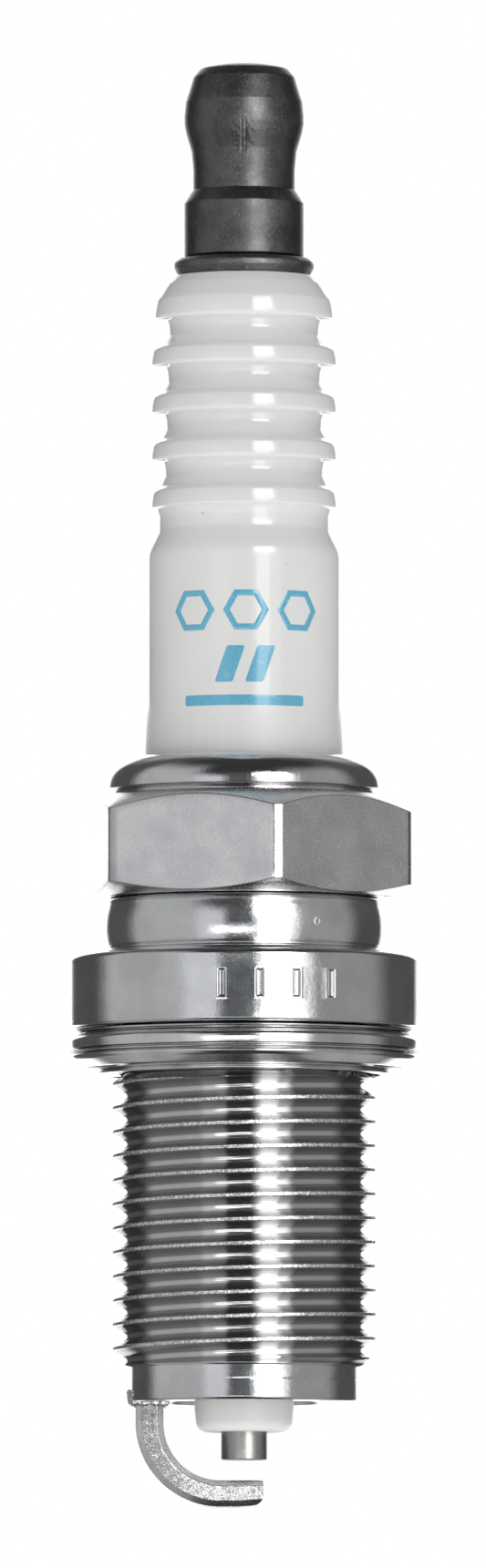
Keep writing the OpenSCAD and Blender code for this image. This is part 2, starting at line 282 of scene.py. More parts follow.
def threaded(columns, bottom, top, lead, crest_height, offsets, radius_at):
    """Surface whose rows follow a right-hand helix between two heights.

    offsets are heights from a crest, over one lead, and radius_at(offset, height, direction) is the
    surface's radius there. Rows that run out at an end fold flat on its rim."""
    turns = math.ceil((top - bottom) / lead) + 2
    first = math.floor((bottom - crest_height) / lead) - 2
    rows = [(crest_height + lead * (first + t), o) for t in range(turns + 2) for o in offsets]
    per_turn = len(offsets)
    points, faces = [], []
    for d in columns:
        for crest, offset in rows:
            z = min(top, max(bottom, crest + offset + lead * d / 360))
            off = (z - crest_height - lead * d / 360 + lead / 2) % lead - lead / 2
            points.append(polar(radius_at(off, z, d), d, z))
    n, last = len(rows), len(columns) - 1
    for c in range(len(columns)):
        shift = per_turn if c == last else 0
        nxt = 0 if c == last else c + 1
        for k in range(n - 1 - shift):
            faces.append([c * n + k, nxt * n + k + shift, nxt * n + k + 1 + shift, c * n + k + 1])
    return points, faces


def shown(name, data):
    """A new object in the scene."""
    made = bpy.data.objects.new(name, data)
    bpy.context.scene.collection.objects.link(made)
    return made


def piece(name, parts, materials, body, replaced=(), sharp=32, pick=None):
    """Makes one closed mesh from parts that share their rims, puts it on its body and hides the CAD parts
    it replaces.
    """
    mesh = bpy.data.meshes.new(name)
    bm = bmesh.new()
    for points, faces in parts:
        made = [bm.verts.new(p) for p in points]
        for face in faces:
            bm.faces.new([made[i] for i in face])
    bmesh.ops.remove_doubles(bm, verts=bm.verts, dist=1e-4 * MM)
    bmesh.ops.dissolve_degenerate(bm, edges=bm.edges, dist=5e-5 * MM)
    bmesh.ops.recalc_face_normals(bm, faces=bm.faces)
    for face in bm.faces:
        face.smooth = True
        if pick:
            centre = face.calc_center_median() / MM
            face.material_index = pick(math.hypot(centre.x, centre.y), centre.z - SEAT, centre)
    for edge in bm.edges:
        edge.smooth = len(edge.link_faces) == 2 and edge.calc_face_angle() < math.radians(sharp)
    bm.to_mesh(mesh)
    bm.free()
    made = shown(name, mesh)
    for material in materials:
        mesh.materials.append(material)
    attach(made, body)
    if replaced:
        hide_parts(*replaced)
    return made


# ----------------------------------------
# Material building
# ----------------------------------------

class Value:
    """An output of a node. Sums and products of values add Math nodes to the same tree."""

    def __init__(self, socket):
        self.socket = socket
        self.tree = socket.id_data

    def maths(self, operation, other=0.0):
        return add(self.tree, "Math", operation, i0=self, i1=other)

    def __add__(self, other):
        return self.maths("ADD", other)

    def __sub__(self, other):
        return self.maths("SUBTRACT", other)

    def __rsub__(self, other):
        return add(self.tree, "Math", "SUBTRACT", i0=other, i1=self)

    def __mul__(self, other):
        return self.maths("MULTIPLY", other)

    def span(self, low_in, high_in, low_out=0.0, high_out=1.0):
        """Maps a range of values smoothly to another."""
        made = add(self.tree, "MapRange", i0=self, i1=low_in, i2=high_in, i3=low_out, i4=high_out)
        made.socket.node.interpolation_type = "SMOOTHSTEP"
        return made


def feed(socket, value):
    """Gives an input a constant or links a value to it."""
    if isinstance(value, Value):
        socket.id_data.links.new(value.socket, socket)
    else:
        socket.default_value = value


def fill(node, inputs):
    """Feeds a node's inputs. They are named, or i0, i1 by number."""
    for key, value in inputs.items():
        numbered = key[0] == "i" and key[1:].isdigit()
        feed(node.inputs[int(key[1:]) if numbered else key.replace("_", " ")], value)


def add(tree, kind, operation=None, out=0, **inputs):
    """Adds a node and returns one of its outputs."""
    made = tree.nodes.new("ShaderNode" + kind)
    if operation:
        made.operation = operation
    fill(made, inputs)
    return Value(made.outputs[out])


def blend(amount, a, b):
    """Mix of two colours."""
    made = amount.tree.nodes.new("ShaderNodeMix")
    made.data_type = "RGBA"
    for socket, value in zip([s for s in made.inputs if s.enabled], (amount, a, b)):
        feed(socket, value)
    return Value(next(s for s in made.outputs if s.enabled))


def split_xyz(vector):
    """The three parts of a vector."""
    return [Value(s) for s in add(vector.tree, "SeparateXYZ", i0=vector).socket.node.outputs]


def lean(normal, vector, share):
    """Adds a share of a vector to a normal."""
    part = add(normal.tree, "VectorMath", "SCALE", i0=vector, Scale=share)
    return add(normal.tree, "VectorMath", "ADD", i0=normal, i1=part)


def grey(value, tint=(1, 1, 1)):
    """A colour from one linear value and a tint."""
    return (value * tint[0], value * tint[1], value * tint[2], 1)


class Look:
    """A material being built: its tree, its shader and the patterns that feed it."""

    def __init__(self, name, metallic, **sockets):
        self.material = bpy.data.materials.new(name)
        self.material.use_nodes = True
        self.tree = self.material.node_tree
        self.shader = self.tree.nodes["Principled BSDF"]
        self.flat = add(self.tree, "TexCoord", out="Object")   # the surface's own place, in metres
        self.finish(Metallic=metallic, **sockets)

    @functools.cached_property
    def xyz(self):
        return split_xyz(self.flat)

    @functools.cached_property
    def r(self):
        """Distance from the axis, in millimetres."""
        x, y, _ = self.xyz
        flat = add(self.tree, "CombineXYZ", i0=x * 1000.0, i1=y * 1000.0, i2=0.0)
        return add(self.tree, "VectorMath", "LENGTH", out="Value", i0=flat)

    def noise(self, vector, scale, detail, rough):
        return add(self.tree, "TexNoise", Vector=vector, Scale=scale, Detail=detail, Roughness=rough)

    def grain(self, scale, detail, rough):
        """Noise from 0 to 1, as fine in every direction."""
        return self.noise(self.flat, scale, detail, rough)

    def stretched(self, scales, detail, rough, turn=(0, 0, 0)):
        """Noise with its own scale along each turned axis."""
        turned_by = [math.radians(t) for t in turn]
        vector = add(self.tree, "Mapping", Vector=self.flat, Rotation=turned_by, Scale=scales)
        return self.noise(vector, 1.0, detail, rough)

    def lathe_lines(self, across, along, detail, rough):
        """Noise that runs round the axis, with a scale round it and one along it."""
        x, y, z = self.xyz
        vector = add(self.tree, "CombineXYZ", i0=y.maths("ARCTAN2", x) * across, i1=z * along, i2=self.r)
        return self.noise(vector, 1.0, detail, rough)

    def scratches(self, *sets):
        """Thin straight scratches: the turn, scale across and along, and rarity of each set."""
        marks = None
        for turn, across, along, rarity in sets:
            line = self.stretched((across, along, across), 2.0, 0.6, turn).span(rarity, rarity + 0.06)
            marks = marks.maths("MAXIMUM", line) if marks else line
        return marks

    def bump(self, *layers, normal=None):
        """Normal of a surface raised by layers of (height, microns)."""
        for height, microns in layers:
            raised = add(self.tree, "Bump", Strength=1.0, Distance=microns * 1e-6, Height=height)
            if normal:
                feed(raised.socket.node.inputs["Normal"], normal)
            normal = raised
        return normal

    def finish(self, **sockets):
        """Feeds the shader and returns the material."""
        fill(self.shader, sockets)
        return self.material


# ----------------------------------------
# Materials
# ----------------------------------------

LILAC = (1.0, 0.98, 1.0)
COOL = (0.97, 1.0, 1.0)
WARM = (1.0, 0.985, 0.96)


def plated_steel():
    """Bright nickel plate on turned steel, with a pit in the ring's front."""
    look = Look("nickel_plate", 1.0)
    lines = look.lathe_lines(3.0, 26000.0, 3.0, 0.6)
    orange_peel = look.grain(4600.0, 3.0, 0.6)
    fine = look.grain(16000.0, 3.0, 0.7)
    stain = look.grain(340.0, 3.0, 0.55)
    marks = look.scratches(((0, 38, 20), 9000, 300, 0.69), ((0, -47, 65), 8000, 260, 0.70),
                           ((0, 12, -50), 9500, 340, 0.70))
    colour = blend(stain.span(0.35, 0.65), grey(0.62, LILAC), grey(0.72, COOL))
    colour = blend(marks * 0.35, colour, grey(0.85, (1.0, 0.98, 0.94)))
    rough = fine.span(0.35, 0.75, 0.06, 0.17) + stain.span(0.3, 0.7, -0.02, 0.04)
    spot = polar(RING_R, FRONT + 31.4, 5.3)
    away = add(look.tree, "VectorMath", "DISTANCE", out="Value", i0=look.flat, i1=spot) + fine * 0.00012
    pit = away.span(0.00013, 0.0002, 1.0, 0.0) - away.span(0.00022, 0.0003, 0.4, 0.0)
    normal = look.bump((fine, 2.4), (orange_peel, 6.0), (lines, 0.6), (marks, -1.0), (pit, -22.0))
    return look.finish(Base_Color=colour, Roughness=rough, Normal=normal)


def plated_hex():
    """The same plate on the drawn hex flats, with handling scratches."""
    look = Look("nickel_plate_hex", 1.0)
    fine = look.grain(11000.0, 3.0, 0.7)
    stain = look.grain(420.0, 4.0, 0.6)
    drawn = look.stretched((9000, 9000, 500), 2.0, 0.6)
    marks = look.scratches(((0, 35, 10), 9000, 330, 0.70), ((20, -50, 0), 8000, 300, 0.71),
                           ((0, 80, 15), 10000, 420, 0.71), ((0, -12, 40), 9500, 360, 0.72))
    colour = blend(stain.span(0.32, 0.68), grey(0.58, (1.0, 0.97, 1.0)), grey(0.68, (0.99, 1.0, 0.985)))
    colour = blend(marks * 0.9, colour, grey(0.95, (1.0, 0.98, 0.93)))
    return look.finish(Base_Color=colour, Roughness=fine.span(0.3, 0.75, 0.16, 0.32) + marks * 0.12,
                       Normal=look.bump((fine, 1.8), (drawn, 0.8), (marks, -1.5)))


def rolled_thread():
    """Rolled thread: smooth roots and flanks, and speckled, slightly torn crests.

    A ray leaves the V between two crests after three bounces, so the flanks carry that lost light as
    painted shade in their colour, darkest towards the root, and face outwards, under a coat that keeps
    their real slope."""
    look = Look("rolled_thread", 1.0, Coat_IOR=2.6, Coat_Roughness=0.06)
    lines = look.lathe_lines(4.0, 30000.0, 2.0, 0.5)
    fine = look.grain(15000.0, 3.0, 0.7)
    crest = look.r.span(THREAD_R - 0.12, THREAD_R - 0.03)
    root = look.r.span(ROOT_R - 0.02, ROOT_R + 0.12, 1.0, 0.0)
    # Mask of the painted shade that darkens the flanks more towards the root.
    root_shade_mask = look.r.span(ROOT_R + 0.12, THREAD_R - 0.14, 1.0, 0.0)
    speck = look.grain(9000.0, 2.0, 0.6).span(0.42, 0.62)
    # Painted shade: the flanks are darkened for the light lost between the crests, most near the root; the
    # root itself keeps the metal's own bright colour.
    smooth = blend(root_shade_mask, grey(0.11, WARM), grey(0.23, WARM))
    smooth = blend(root, smooth, grey(0.62, (1.0, 0.99, 0.98)))
    colour = blend(crest, smooth, blend(speck, grey(0.36), grey(0.90)))
    turned_out = root.span(0.0, 1.0, 1.0, 0.72) * (1.0 - crest)
    outwards = add(look.tree, "VectorMath", "MULTIPLY", i0=look.flat, i1=(1.0, 1.0, 0.0))
    outwards = add(look.tree, "VectorMath", "NORMALIZE", i0=outwards)
    facing = add(look.tree, "NewGeometry", out="Normal")
    facing = add(look.tree, "VectorMath", "SCALE", i0=facing, Scale=1.001 - turned_out)
    facing = lean(lean(facing, outwards, turned_out), (0.0, 0.0, -0.07), root)
    facing = add(look.tree, "VectorMath", "NORMALIZE", i0=facing)
    ridges = look.lathe_lines(1.5, 8500.0, 1.0, 0.5) * (root * 4.0)
    rise = lines * 0.8 + ridges + fine * (crest * 2.4 + 0.5)
    return look.finish(Base_Color=colour, Roughness=fine.span(0.35, 0.75, 0.05, 0.10) + crest * 0.30,
                       Normal=look.bump((rise, 2.2), normal=facing),
                       Coat_Weight=look.r.span(ROOT_R + 0.1, ROOT_R + 0.3, 0.0, 0.9))


def gasket_steel():
    """Bright sheet steel, rolled and folded."""
    look = Look("gasket_steel", 1.0)
    lines = look.lathe_lines(2.5, 32000.0, 3.0, 0.65)
    fine = look.grain(14000.0, 3.0, 0.7)
    stain = look.grain(500.0, 3.0, 0.5)
    return look.finish(Base_Color=blend(stain.span(0.35, 0.65), grey(0.62), grey(0.75)),
                       Roughness=fine.span(0.35, 0.75, 0.07, 0.20),
                       Normal=look.bump((fine, 2.0), (lines, 1.0)))


def terminal_steel(name="terminal_steel", base=0.088, shine=0.32, pits=1.0):
    """Dark, satin, tumbled steel."""
    look = Look(name, 1.0)
    lines = look.lathe_lines(3.0, 22000.0, 3.0, 0.6)
    fine = look.grain(9000.0, 4.0, 0.7)
    pit = look.grain(9000.0, 3.0, 0.65).span(0.52, 0.66)
    stain = look.grain(600.0, 3.0, 0.6)
    colour = blend(stain.span(0.35, 0.65), grey(base), grey(base * 1.55))
    colour = blend(pit * 0.4, colour, grey(base * 3.2, (1.0, 0.99, 0.96)))
    return look.finish(Base_Color=colour, Roughness=fine.span(0.3, 0.75, shine, shine + 0.2),
                       Normal=look.bump((fine, 3.6 * pits), (pit, -3.0 * pits), (lines, 0.8)))


def alumina():
    """White alumina: glazed above the shell, finely ground just above the crimp, bare at the nose."""
    look = Look("alumina", 0.0, IOR=1.5)
    height = look.xyz[2] * (1 / MM) - SEAT
    glazed = height.span(CRIMP_TOP + 1.4, CRIMP_TOP + 3.6)
    matt = 1.0 - glazed
    ground = look.lathe_lines(60.0, 150.0, 3.0, 0.7)
    wavy = look.grain(260.0, 2.0, 0.4)
    fine = look.grain(9000.0, 3.0, 0.6)
    speck = look.grain(2600.0, 1.0, 0.4).span(0.80, 0.83)
    tone = look.grain(120.0, 3.0, 0.6).span(0.3, 0.7)
    glaze = blend(tone, grey(0.80, (1.0, 1.005, 0.985)), grey(0.84))
    bare = blend(ground, grey(0.78, (1.0, 0.99, 0.97)), grey(0.86))
    colour = blend(speck * 0.5, blend(glazed, bare, glaze), grey(0.25, (1.0, 0.9, 0.8)))
    rise = wavy * 6.0 + matt * (fine * 2.0 + ground * 1.5)
    return look.finish(Base_Color=colour, Roughness=glazed * 0.07 + matt * (ground * 0.25 + 0.32),
                       Normal=look.bump((rise, 1.0)))


def ink():
    """Fired blue print under the glaze."""
    look = Look("blue_print", 0.0, IOR=1.6)
    screen = look.grain(14000.0, 2.0, 0.6)
    thin = look.grain(1500.0, 3.0, 0.6)
    colour = blend(screen.span(0.35, 0.65), (0.115, 0.42, 0.60, 1), (0.165, 0.50, 0.68, 1))
    colour = blend(thin.span(0.60, 0.72, 0.0, 0.6), colour, (0.30, 0.60, 0.74, 1))
    return look.finish(Base_Color=colour, Roughness=thin.span(0.3, 0.7, 0.07, 0.16),
                       Normal=look.bump((screen, 0.6)))


def rolled_alloy():
    """Rolled faces and rounded edges of the side electrode's strip."""
    look = Look("rolled_alloy", 1.0)
    fine = look.grain(12000.0, 3.0, 0.7)
    stain = look.grain(900.0, 3.0, 0.6)
    along = look.stretched((2500, 16000, 2500), 2.0, 0.6)
    return look.finish(Base_Color=blend(stain.span(0.35, 0.65), grey(0.66, (1.0, 0.99, 0.98)), grey(0.80)),
                       Roughness=fine.span(0.3, 0.75, 0.22, 0.36),
                       Normal=look.bump((fine, 1.6), (along, 0.8)))


def sheared_alloy():
    """Sheared sides of the strip: torn metal with bright specks, more of them on the arm."""
    look = Look("sheared_alloy", 1.0)
    arm = look.xyz[0].span(-4.6 * MM, -1.6 * MM)
    fine = look.grain(15000.0, 2.0, 0.7)
    lump = look.grain(5000.0, 3.0, 0.65)
    torn = fine + lump * 0.5 + arm * 0.13
    dull = blend(arm, grey(0.36, (1.0, 0.99, 0.97)), grey(0.40))
    return look.finish(Base_Color=blend(torn.span(0.83, 0.90), dull, grey(0.92)),
                       Roughness=fine.span(0.3, 0.75, 0.26, 0.42),
                       Normal=look.bump((fine, 3.5), (lump, 5.0)))


def drawn_wire():
    """Drawn nickel alloy wire of the centre electrode."""
    look = Look("electrode_wire", 1.0)
    drawn = look.stretched((16000, 16000, 900), 2.0, 0.6)
    fine = look.grain(12000.0, 3.0, 0.7)
    scuff = look.grain(3800.0, 3.0, 0.7).span(0.60, 0.68)
    return look.finish(Base_Color=blend(scuff * 0.5, grey(0.40, (1.0, 0.985, 0.95)), grey(0.70)),
                       Roughness=fine.span(0.3, 0.7, 0.27, 0.40) + scuff * 0.15,
                       Normal=look.bump((drawn, 1.0), (scuff, -1.5)))


def weld_metal():
    """Rough bright metal thrown out by the resistance weld."""
    look = Look("weld_metal", 1.0)
    lump = look.grain(7000.0, 4.0, 0.7)
    fine = look.grain(22000.0, 2.0, 0.6)
    return look.finish(Base_Color=blend(lump.span(0.35, 0.62), grey(0.42, (1.0, 0.98, 0.95)), grey(0.80)),
                       Roughness=fine.span(0.3, 0.7, 0.22, 0.45), Normal=look.bump((lump, 9.0)))


def hidden_look(name, metallic, dark, light, scale, rough, microns):
    """Look of an inner piece: two tones, uneven roughness and a grainy surface."""
    look = Look(name, metallic)
    coarse = look.grain(scale, 4.0, 0.6)
    fine = look.grain(scale * 6, 2.0, 0.6)
    return look.finish(Base_Color=blend(coarse.span(0.35, 0.65), dark, light),
                       Roughness=fine.span(0.3, 0.7, rough, rough + 0.2),
                       Normal=look.bump((fine, microns)))


def floor_look():
    """Plain pale studio floor, clear from below."""
    look = Look("studio_floor", 0.0, Emission_Strength=0.5)
    tone = look.grain(30.0, 3.0, 0.5)
    colour = blend(tone, grey(0.78), grey(0.82))
    look.finish(Base_Color=colour, Roughness=tone.span(0.3, 0.7, 0.6, 0.75), Emission_Color=colour)
    under = add(look.tree, "NewGeometry", out="Backfacing")
    clear = add(look.tree, "BsdfTransparent")
    seen = add(look.tree, "MixShader", i0=under, i1=Value(look.shader.outputs[0]), i2=clear)
    feed(look.tree.nodes["Material Output"].inputs["Surface"], seen)
    return look.material


PLATE = plated_steel()
HEX = plated_hex()
THREAD = rolled_thread()
GASKET = gasket_steel()
TERMINAL = terminal_steel()
FLANGE = terminal_steel("stud_flange", 0.13, 0.36, 3.0)
ALUMINA = alumina()
INK = ink()
ROLLED = rolled_alloy()
SHEARED = sheared_alloy()
WIRE = drawn_wire()
WELD = weld_metal()


# ----------------------------------------
# Terminal nut and stud
# ----------------------------------------

def staked(r, z, direction):
    """The nut's front is staked to its stud: a double seam with lumpy metal round it."""
    if r < NUT_NECK_R - 0.2:
        return r
    side = arc_side(direction, FRONT, r)
    up = z - (TERMINAL_TOP - 3.9)
    seam = max(math.exp(-((side + 0.12) / 0.045) ** 2), 0.7 * math.exp(-((side - 0.06) / 0.04) ** 2))
    seam *= ramp(up, -0.85, -0.7) * (1 - ramp(up, 0.72, 0.86))
    bruise = math.exp(-((side + 0.1) / 0.75) ** 2 - ((up + 0.15) / 0.85) ** 2)
    lumps = noise.noise(Vector((side * 4.2, up * 4.2, 3.1)))
    lumps += 0.5 * noise.noise(Vector((side * 9, up * 9, 1.7)))
    return r - 0.035 * seam - bruise * (0.035 + 0.04 * lumps)


def make_terminal_nut():
    top = TERMINAL_TOP
    bore = STUD_R + PLAY
    outline = soften([
        (0, top - 0.8), (bore, top - 1.7, 0.1), (bore, NUT_BOTTOM + 0.35, 0.05),
        (bore + 0.35, NUT_BOTTOM, 0.05), (NUT_BASE_R, NUT_BOTTOM, 0.12), (NUT_BASE_R, top - 7.28, 0.12),
        (NUT_NECK_R + 0.1, top - 6.72, 0.08), (NUT_NECK_R, top - 6.58, 0.08), (NUT_NECK_R, top - 5.5, 0.9),
        (NUT_NECK_R + 0.09, top - 4.55, 0.4), (BULB_R - 0.1, top - 3.65, 0.9), (BULB_R, top - 3.15, 0.6),
        (BULB_R, top - 2.7, 0.6), (BULB_R - 0.07, top - 1.97, 0.04), (BULB_R - 0.33, top - 1.15, 0.4),
        (BULB_R - 0.47, top - 0.66, 0.4), (BULB_R - 0.85, top - 0.22, 0.3), (1.3, top - 0.03, 0.8),
        (0, top)], step=9)
    outline = dense(outline, top - 5.3, top - 2.6, 0.1)
    outline = dense(outline, NUT_BOTTOM, top, 0.6)
    part = turned(outline, around_with(120, FRONT, 24, 0.8), shape=staked)
    return piece("nut", [part], [TERMINAL], "terminal_nut", ["terminal_nut"])


def rough_flange(r, z, direction):
    """The flange is upset cold, so its rim is a little uneven."""
    if r < 2.5 or z < INSULATOR_TOP:
        return r
    spot = noise_spot(direction, z, 6, 3.0)
    return r - 0.02 - 0.03 * noise.noise(spot) - 0.015 * noise.noise(spot * 3)


def make_terminal_stud():
    lead = 0.7
    root = STUD_R - 0.43
    flange_top = INSULATOR_TOP + 0.95
    low_end = low("terminal_stud")
    thread_low = NUT_BOTTOM + 0.5
    thread_high = STUD_END - 0.02
    columns = around(96)
    knurl = []
    for i in range(5):
        knurl += [(1.72, low_end + 0.4 + 0.7 * i, 0.06), (1.52, low_end + 0.75 + 0.7 * i, 0.06)]
    below = soften([(0, low_end), (1.32, low_end, 0.1)] + knurl + [
        (1.72, low_end + 4.2, 0.1), (1.72, INSULATOR_TOP + SLIP, 0.02), (3.42, INSULATOR_TOP + SLIP, 0.05),
        (3.52, INSULATOR_TOP + 0.2, 0.1), (3.64, INSULATOR_TOP + 0.42, 0.15),
        (3.64, INSULATOR_TOP + 0.7, 0.2), (3.4, flange_top - 0.04, 0.12), (3.1, flange_top, 0.1),
        (root - 0.03, flange_top, 0.05), (root - 0.03, thread_low)], step=12)

    def radius_at(offset, z, _):
        groove = min(STUD_R, max(root, STUD_R - (abs(offset) - lead / 16) * FLANK))
        entry = root - 0.03 + max(0, z - thread_low) * 1.1
        lead_in = STUD_R - 0.5 + (thread_high - z) * 1.1
        return min(groove, entry, max(root - 0.03, lead_in))

    offsets = [lead * (k / 12 - 0.5) for k in range(12)]
    screw = threaded(columns, thread_low, thread_high, lead, NUT_BOTTOM, offsets, radius_at)
    end = turned([(STUD_R - 0.5, thread_high), (STUD_R - 0.56, STUD_END), (0, STUD_END)], columns)
    parts = [turned(below, columns, shape=rough_flange), screw, end]
    return piece("stud", parts, [FLANGE], "plug", ["terminal_stud"])


# ----------------------------------------
# Insulator and its print
# ----------------------------------------

def neck_r(i):
    """Radius of the neck below rib i, where rib 0 is the top one."""
    return 3.96 + 0.07 * i


def hollow(under, neck):
    """The hollow neck below a rib, from the bottom up."""
    return arc(neck + 0.8, under - 0.47, 0.8, 215, 149, 8)


def rib(under, edge):
    """Corners of a rib, from the bottom up: flat underside, slightly coned rim, sloping top."""
    return [(edge, under, 0.2), (edge - 0.005, under + 0.36, 3.0), (edge - 0.09, under + 0.9, 0.35),
            (edge - 0.4, under + 1.1, 0.3)]


def make_insulator():
    def above_washer(r):
        """A corner of the cone that rests on the washer over the shell's 30 degree ledge."""
        return (r, LEDGE + 0.34 + math.tan(math.radians(30)) * (r - NOSE_BORE_R), 0.1)

    lowest = TOP_RIB_UNDER - RIB_COUNT * RIB_PITCH
    inside = [(ELECTRODE_R + SLIP, -0.45, 0.05), (ELECTRODE_R + SLIP, NOSE_END + 0.12, 0.05),
              (ELECTRODE_R + 0.12, NOSE_END, 0.04)]
    nose = [(2.47, NOSE_END, 0.62), (3.4, LEDGE - 3.2, 0.5), (3.75, LEDGE - 0.4, 0.3), above_washer(3.75),
            above_washer(4.65), (4.65, 1.3, 0.3), (6.2, 2.35, 0.15), (6.2, 6.0, 0.3), (FOOT_R, 6.8, 0.3),
            (FOOT_R, CRIMP_TOP + 0.5, 0.5), (BARREL_R, CRIMP_TOP + 1.9, 1)]
    shoulder = [(BARREL_R, lowest - 2.25, 1.6), (4.5, lowest - 1.12, 0.8), (4.47, lowest - 0.45, 0.5),
                (4.6, lowest - 0.05, 0.12), (4.66, lowest, 0.05)] + rib(lowest, RIB_R)
    ribs = []
    for i in range(RIB_COUNT - 1, 0, -1):
        under = TOP_RIB_UNDER - i * RIB_PITCH
        ribs += hollow(under, neck_r(i)) + rib(under, RIB_R)
    crown = hollow(TOP_RIB_UNDER, neck_r(0)) + [
        (TOP_RIB_R, TOP_RIB_UNDER, 0.2), (TOP_RIB_R - 0.005, TOP_RIB_UNDER + 0.36, 3.0),
        (TOP_RIB_R - 0.12, TOP_RIB_UNDER + 1.02, 0.5), (TOP_RIB_R - 0.62, INSULATOR_TOP - 0.45, 0.4),
        (3.72, INSULATOR_TOP, 0.2), (2.28, INSULATOR_TOP, 0.1), (1.98, INSULATOR_TOP - 0.3, 0.05),
        (1.98, 0, 0.05)]
    outline = soften(inside + nose + shoulder + ribs + crown, closed=True, step=11)
    outline = dense(outline + outline[:1], NOSE_END, INSULATOR_TOP, 0.9)[:-1]
    part = turned(outline, around(160), closed=True)
    return piece("ceramic", [part], [ALUMINA], "plug", ["insulator"], sharp=50)


def wrapped(side, z, lift):
    """A point on the barrel, side millimetres to the right of the front, lifted off it."""
    return polar(BARREL_R + lift, FRONT + math.degrees(side / BARREL_R), z)


def bar(centre, width, height, lean=0.0):
    """A rounded bar of print. lean shifts its top to the right."""
    corner = min(0.12, height / 2.5)
    edge = []
    for sx, sz, start in ((1, 1, 0), (-1, 1, 90), (-1, -1, 180), (1, -1, 270)):
        edge += arc(sx * (width / 2 - corner), sz * (height / 2 - corner), corner, start, start + 90, 3)
    edge = spaced(edge, 0.25)
    spine = max(0, (width - height) / 2)   # the fill shrinks towards this half line
    rings = []
    for k in range(4):
        s = 1 - k / 3
        rings.append([])
        for x, z in edge:
            keep = max(-spine, min(spine, x))
            rings[-1].append((centre[0] + keep + (x - keep) * s + lean * z * s, centre[1] + z * s))
    shells = [[wrapped(s, z, lift) for s, z in ring]
              for ring, lift in zip([rings[0]] + rings, [-0.01, 0.004, 0.012, 0.012, 0.012])]
    return skin(shells)


def hexagon(centre, size, stroke):
    """An outlined hexagon of print."""
    rims = []
    for r in (size, size - 0.03, size - stroke + 0.03, size - stroke):
        rim = []
        for k in range(6):
            a, b = (math.radians(60 * (k + j)) for j in (0, 1))
            for t in range(8):
                rim.append((centre[0] + r * (math.cos(a) * (8 - t) + math.cos(b) * t) / 8,
                            centre[1] + r * (math.sin(a) * (8 - t) + math.sin(b) * t) / 8))
        rims.append(rim)
    lifts = [-0.01, 0.004, 0.012, 0.012, 0.004, -0.01]
    order = [rims[0], rims[0], rims[1], rims[2], rims[3], rims[3]]
    return skin([[wrapped(s, z, lift) for s, z in rim] for rim, lift in zip(order, lifts)], closed=True)


def make_print():
    """Plain blue marks where a maker's print would be: three hexagons, two slanted bars and a line."""
    parts = [hexagon((x, 21.55), 1.2, 0.36) for x in (-2.75, 0.1, 2.95)]
    parts += [bar((x, 18.75), 0.95, 1.9, lean=0.35) for x in (-0.75, 0.85)]
    parts += [bar((0.02, 16.86), 6.55, 0.55)]
    return piece("printed_marks", parts, [INK], "plug", sharp=60)


# ----------------------------------------
# Shell
# ----------------------------------------

def hex_radius(direction):
    """Distance from the axis to the hex in this direction, with its corners turned round."""
    off = (direction - HEX_FRONT) % 60 - 30
    return soft_min(HEX_FLAT_R / math.cos(math.radians(off)), HEX_CORNER_R, 0.05)


def shell_columns():
    """Directions that follow the hex corners and the stamped ticks."""
    near_corner = (27.3, 27.9, 28.25, 28.46, 28.7, 29.2, 30.0)
    made = []
    for flat in range(6):
        middle = HEX_FRONT + 30 + 60 * flat
        made += [middle + 2.7 * k - 24.3 for k in range(19)]
        made += [middle + s * a for a in near_corner for s in (-1, 1)]
    for tick in TICKS:
        made += [FRONT + tick + 0.28 * k for k in range(-7, 8)]
    made = sorted(a % 360 for a in made)
    return [a for i, a in enumerate(made) if i == 0 or a - made[i - 1] > 0.12]


def thread_radius(offset, z, direction):
    """Radius of the shell's thread at an offset from its crest."""
    root_round = 0.1806        # radius of the rounded root
    d = abs(offset)
    r = THREAD_R - max(0, d - PITCH / 16) * FLANK
    centre = PITCH / 2
    if d > centre - root_round * math.sin(math.radians(60)):
        r = ROOT_R + root_round - math.sqrt(max(0, root_round ** 2 - (centre - d) ** 2))
    if d < 0.14:
        spot = noise_spot(direction, z, 38, 5)
        r -= 0.014 + 0.014 * noise.noise(spot) + 0.01 * noise.noise(spot * 2.3)
    start_cone = NECK_R + (THREAD_START + 0.3 - z) * (THREAD_R - NECK_R) / 0.65
    end_cone = ROOT_R + (z - THREAD_STOP + 0.2) * (THREAD_R - ROOT_R) / 0.65
    if z < THREAD_STOP - 0.2:
        end_cone = END_R + (z - THREAD_STOP + 0.25) * (ROOT_R - END_R) / 0.05
    return max(min(END_R, NECK_R), min(r, max(NECK_R, start_cone), max(END_R, end_cone)))


def stamped(r, z, direction):
    """Four plain ticks pressed into the collar, each with a slightly raised rim."""
    if abs(r - COLLAR_R) > 0.004:
        return r
    for tick in TICKS:
        side = abs(arc_side(direction, FRONT + tick, r))
        if side < 0.5:
            end = abs(z - 1.975) - 0.725
            reach = max(side - 0.2, end)
            sunk = 1 - ramp(reach, -0.09, 0.0)
            rim = math.exp(-((reach - 0.05) / 0.05) ** 2)
            return r - 0.12 * sunk + 0.012 * rim - 0.012
    return r - 0.012


def faint_line(r, z, direction):
    """Where the thread rolls left a faint run-out line on the plain end."""
    if abs(r - END_R) > 0.004:
        return r
    turn = (direction - 250) % 360
    up = z - (SHELL_END + 1.05 + 0.0012 * turn)
    first = math.exp(-(up / 0.035) ** 2) * ramp(turn, 0, 40) * (1 - ramp(turn, 190, 300))
    second = math.exp(-((up - 0.22) / 0.03) ** 2) * ramp(turn, 30, 60) * (1 - ramp(turn, 120, 200))
    return r - 0.02 * first - 0.014 * second


